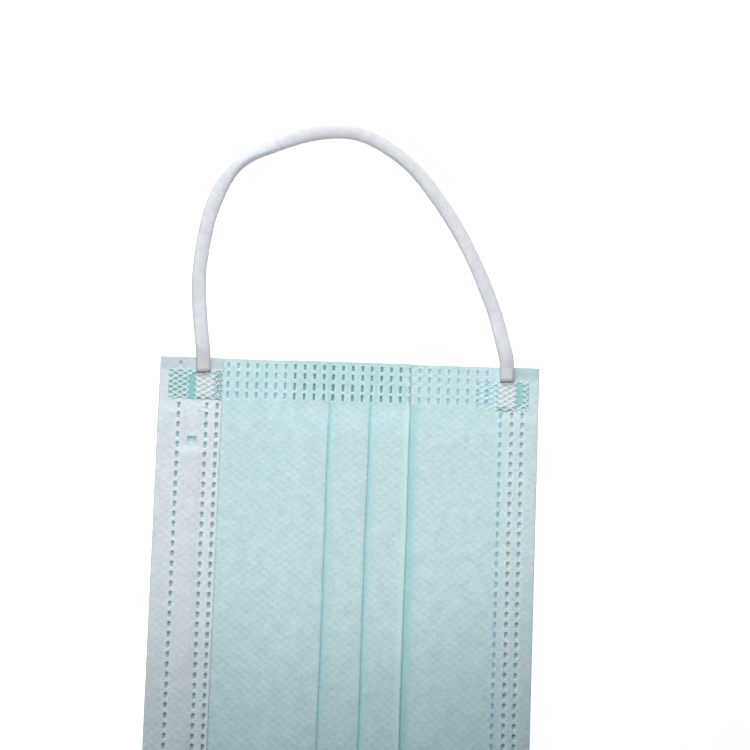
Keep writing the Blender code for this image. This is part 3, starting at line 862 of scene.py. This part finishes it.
# For each patch: its place across the mask and its distance from the short edge, where the cord and the melted strip
# lie across it, how far in the strip begins, and how far the net is shifted.
NOSE_PATCH = {
    "x": (-45.4, -31.8), "inset": (3.0, 10.95), "cord": (-38.25, -33.7), "melt": (-40.4, -38.1), "below": 1.5,
    "shift": (0.78, -0.16),
}
CHIN_PATCH = {
    "x": (31.8, 45.1), "inset": (3.4, 11.4), "cord": (37.2, 41.75), "melt": (41.9, 43.9), "below": 0.6,
    "shift": (0.0, 0.0),
}
CHIN_MELT_ENDS = 9.2
CORD_IN_WELD = 0.28  # how far the pressed cord stands over the net
FACE_IN_WELD, FOLD_IN_WELD = 0.30, 0.83  # heights of the pressed face and of the pressed fold


def diamonds(x, inset):
    """0 in the middle of each diamond of the net and 1 on its ridges."""
    nearest = np.ones_like(x)
    x, inset = x + 0.06 * np.sin(inset * 2.9 + x * 1.7), inset + 0.05 * np.sin(x * 2.3 - inset * 1.1)
    for shift in (0.0, 0.5):
        dx = np.abs((x / KNURL_ACROSS + shift + 0.5) % 1 - 0.5) * 2
        dy = np.abs((inset / KNURL_ALONG + shift + 0.5) % 1 - 0.5) * 2
        nearest = np.minimum(nearest, dx + dy)
    return nearest


def corner_patch(name, patch, side, node, fold_edge=None):
    """The knurled patch over one corner, with the flattened end of the cord in it. At the chin it runs from the
    turned-over ply down onto the face; fold_edge is where."""
    (x0, x1), (in0, in1) = patch["x"], patch["inset"]
    cord0, cord1 = patch["cord"]
    melt0, melt1 = patch["melt"]

    def parts(x, y):
        inset = SHORT_EDGE - side * y
        net = diamonds(x + patch["shift"][0], inset + patch["shift"][1])
        cord = smooth(cord0 - 0.4, cord0 + 0.4, x) * (1 - smooth(cord1 - 0.4, cord1 + 0.4, x))
        cord = cord * (1 - smooth(in1 - 1.5, in1 - 0.1, inset))
        jagged = 0.9 * (net - 0.45)
        strand = 0.6 * smooth(0.55, 0.9, net)
        melt = (x > melt0 + jagged) & (x < melt1 - strand) & (inset > in0 + patch["below"]) & (inset < in1 - 0.1)
        if fold_edge:
            melt &= inset < CHIN_MELT_ENDS
        return inset, net, cord, melt

    def pressed_level(x):
        if not fold_edge:
            return np.full_like(x, FOLD_IN_WELD)
        return FACE_IN_WELD + (FOLD_IN_WELD - FACE_IN_WELD) * smooth(fold_edge - 0.5, fold_edge + 0.25, x)

    def top(x, y):
        inset, net, cord, melt = parts(x, y)
        inside = np.minimum.reduce([x - x0, x1 - x, inset - in0, in1 - inset])
        base = pressed_level(x)
        ridge = 0.20 * smooth(0.55, 0.90, net)
        ridge = np.where(melt, 0.02 + 0.03 * smooth(0.8, 1.0, net), ridge)
        level = np.maximum(base, FOLD_IN_WELD - 0.1) if fold_edge else base
        raised = base + (level - base) * cord
        z = raised + 0.02 + ridge + CORD_IN_WELD * cord
        weld = side_weld(x, y, 0.16) * (1 - cord) * smooth(0, 0.6, inside)
        skirt = smooth(-0.02, 0.30, inside)
        return x, y, (base - 0.14) * (1 - skirt) + (z + weld) * skirt

    def under(x, y):
        return x, y, pressed_level(x) - 0.16

    def finish(x, y, outside):
        inset, net, cord, melt = parts(x, y)
        found = np.where(net < 0.68, 1, 0)
        on_face = (x < fold_edge) if fold_edge else np.zeros(len(x), bool)
        found = np.where(on_face, found + 5, found)
        found = np.where(melt, 2, found)
        on_cord = cord > 0.5
        found = np.where(on_cord, np.where(net < 0.66, 4, 3), found)
        found = np.where(in_a_bar(x, y) & ~on_cord & ~melt, np.where(on_face, 6, 1), found)
        return found if outside else np.zeros(len(x), int)

    low, high = sorted((side * (SHORT_EDGE - in0), side * (SHORT_EDGE - in1)))
    zone = (grid_lines(x0, x1, [], widest=0.135), grid_lines(low, high, [], widest=0.125))
    piece = cloth(
        name, [zone], top, under,
        [knurled_white, film_knurl, melted_mint, knurled_cord, film_cord, knurled_mint, film_knurl_mint], finish,
    )
    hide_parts(node)


# Each of the three things under the horn is pale on the net's ridges and clearer in its pits.
knurled_white = fused_film("knurled_white_spunbond", "#c4dfe3", "#d6ebee")
film_knurl = fused_film("fused_film_in_the_net", "#7ea3a7", "#95b7bb")
knurled_cord = fused_film("knurled_elastic", "#d6e1e6", "#e3ebef")
film_cord = fused_film("fused_elastic", "#b6c8d0", "#c6d5dc")
knurled_mint = fused_film("knurled_mint_spunbond", "#c2e4e7", "#d4eef0")
film_knurl_mint = fused_film("fused_mint_in_the_net", "#90c0c4", "#a7ced3")
melted_mint = fused_film("melted_mint_film", "#6cb1b0", "#8cc8c5")
for place, side in (("a", 1), ("b", -1)):
    corner_patch("corner_weld_nose_" + place, NOSE_PATCH, side, "loop_end_nose_" + place)
    corner_patch("corner_weld_chin_" + place, CHIN_PATCH, side, "loop_end_chin_" + place, CHIN_EDGE - CHIN_FOLD_WIDTH)


# ---------------------------------------------------------------- nose wire
# A flat steel wire drawn through white polyethylene, which coats it. It lies loose and straight in the nose fold's
# pocket;
# worn, it is bent to shape over the nose and stays as it is bent.

WIRE_WIDTH, WIRE_THICKNESS, WIRE_LENGTH, WIRE_PLACE = 3.0, 0.5, 125.0, -38.8
WIRE_BASE = 0.62  # height of its underside, on the face under the pocket


def coated_wire():
    """Extruded polyethylene coating: smooth, waxy white, with faint draw lines along it, 0.5 mm apart."""
    made, tree, shader = new_material("white_polyethylene_coating", Roughness=0.38, IOR=1.51)
    place = add(tree, "TexCoord").outputs["Object"]
    drawn_out = add(tree, "VectorMath", {"operation": "MULTIPLY"}, i0=place, i1=(2000, 40, 2000)).outputs[0]
    lines = add(tree, "TexNoise", Vector=drawn_out, Scale=1.0)
    tint = add(tree, "ValToRGB", i0=lines.outputs[0])
    tint.color_ramp.elements[0].color, tint.color_ramp.elements[1].color = linear("#d9dcde"), linear("#eceeef")
    tree.links.new(tint.outputs[0], shader.inputs["Base Color"])
    bump = add(tree, "Bump", Strength=0.2, Distance=0.00005, Height=lines.outputs[0])
    tree.links.new(bump.outputs[0], shader.inputs["Normal"])
    return made


def nose_wire():
    """Flat wire with rounded edges and blunt ends."""
    turns = np.arange(16) / 16 * math.tau
    across = np.sign(np.cos(turns)) * np.abs(np.cos(turns)) ** 0.35 * WIRE_WIDTH / 2
    upward = np.sign(np.sin(turns)) * np.abs(np.sin(turns)) ** 0.55 * WIRE_THICKNESS / 2
    ends = [(0.0, 0.55), (0.12, 0.85), (0.35, 1.0)]
    stops = [(-WIRE_LENGTH / 2 + d, k) for d, k in ends]
    stops += [(y, 1.0) for y in np.linspace(-WIRE_LENGTH / 2 + 2, WIRE_LENGTH / 2 - 2, 60)]
    stops += [(WIRE_LENGTH / 2 - d, k) for d, k in reversed(ends)]
    middle = WIRE_BASE + WIRE_THICKNESS / 2
    verts = [(WIRE_PLACE + a * k, y, middle + u * k) for y, k in stops for a, u in zip(across, upward)]
    faces = [
        (r * 16 + k, r * 16 + (k + 1) % 16, (r + 1) * 16 + (k + 1) % 16, (r + 1) * 16 + k)
        for r in range(len(stops) - 1) for k in range(16)
    ]
    faces += [tuple(reversed(range(16))), tuple((len(stops) - 1) * 16 + k for k in range(16))]
    mesh = bpy.data.meshes.new("wire_in_pocket")
    mesh.from_pydata((np.array(verts) * 0.001).tolist(), [], faces)
    mesh.materials.append(coated_wire())
    mesh.shade_smooth()
    mesh.set_sharp_from_angle(angle=math.radians(50))
    wire = bpy.data.objects.new("wire_in_pocket", mesh)
    bpy.context.collection.objects.link(wire)
    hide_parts("nose_wire")
    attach(wire, "root")


nose_wire()


# ---------------------------------------------------------------- floor and light
# A plain pale table. A broad soft lamp stands beyond the loop and to the left, and a smaller one hangs over each end
# of the mask in a cone; the photographed end's cone stops at the picture's lower edge, so the cloth darkens there.

def pale_table():
    """White laminate with a dull finish and a hardly seen grain. Its own glow stands for a table lit from below, which
    shows as plain white with no shadows."""
    made, tree, shader = new_material(
        "pale_table_laminate", Roughness=0.9, Emission_Color=(1, 1, 1, 1), Emission_Strength=0.62,
    )
    grain = add(tree, "TexNoise", Scale=40.0, Detail=2.0)
    tint = add(tree, "ValToRGB", i0=grain.outputs[0])
    tint.color_ramp.elements[0].color, tint.color_ramp.elements[1].color = linear("#f4f5f6"), linear("#fbfbfc")
    tree.links.new(tint.outputs[0], shader.inputs["Base Color"])
    mesh = bpy.data.meshes.new("floor")
    mesh.from_pydata([(-4, -4, 0), (4, -4, 0), (4, 4, 0), (-4, 4, 0)], [], [(0, 1, 2, 3)])
    mesh.materials.append(made)
    floor = bpy.data.objects.new("floor", mesh)
    bpy.context.collection.objects.link(floor)


def soft_lamp(name, place, aim, size, power, colour, cone=None):
    """A round soft box, or a round lamp in a cone of so many degrees. Places and sizes are in metres."""
    lamp = bpy.data.lights.new(name, "SPOT" if cone else "AREA")
    lamp.energy = power
    lamp.color = linear(colour)[:3]
    if cone:
        lamp.shadow_soft_size, lamp.spot_size, lamp.spot_blend = size / 2, math.radians(cone), 0.55
    else:
        lamp.shape, lamp.size = "DISK", size
    held = bpy.data.objects.new(name, lamp)
    held.location = place
    held.visible_camera = False
    held.rotation_euler = (Vector(aim) - Vector(place)).to_track_quat("-Z", "Y").to_euler()
    bpy.context.collection.objects.link(held)


pale_table()
soft_lamp("main_lamp", (-0.252, 0.728, 0.54), (0.0, 0.08, 0.0), 0.54, 5.7, "#ecf9fc")
soft_lamp("top_lamp", (0.03, 0.139, 0.40), (-0.005, 0.116, 0.0), 0.06, 3.6, "#fff8f6", cone=38)
soft_lamp("far_lamp", (-0.02, -0.18, 0.42), (0.0, -0.145, 0.0), 0.06, 3.4, "#fdfdff", cone=33)
world = bpy.data.worlds.new("studio")
world.use_nodes = True
world.node_tree.nodes["Background"].inputs[0].default_value = linear("#eefafc")
world.node_tree.nodes["Background"].inputs[1].default_value = 0.14
bpy.context.scene.world = world
bpy.context.scene.view_settings.view_transform = "Standard"
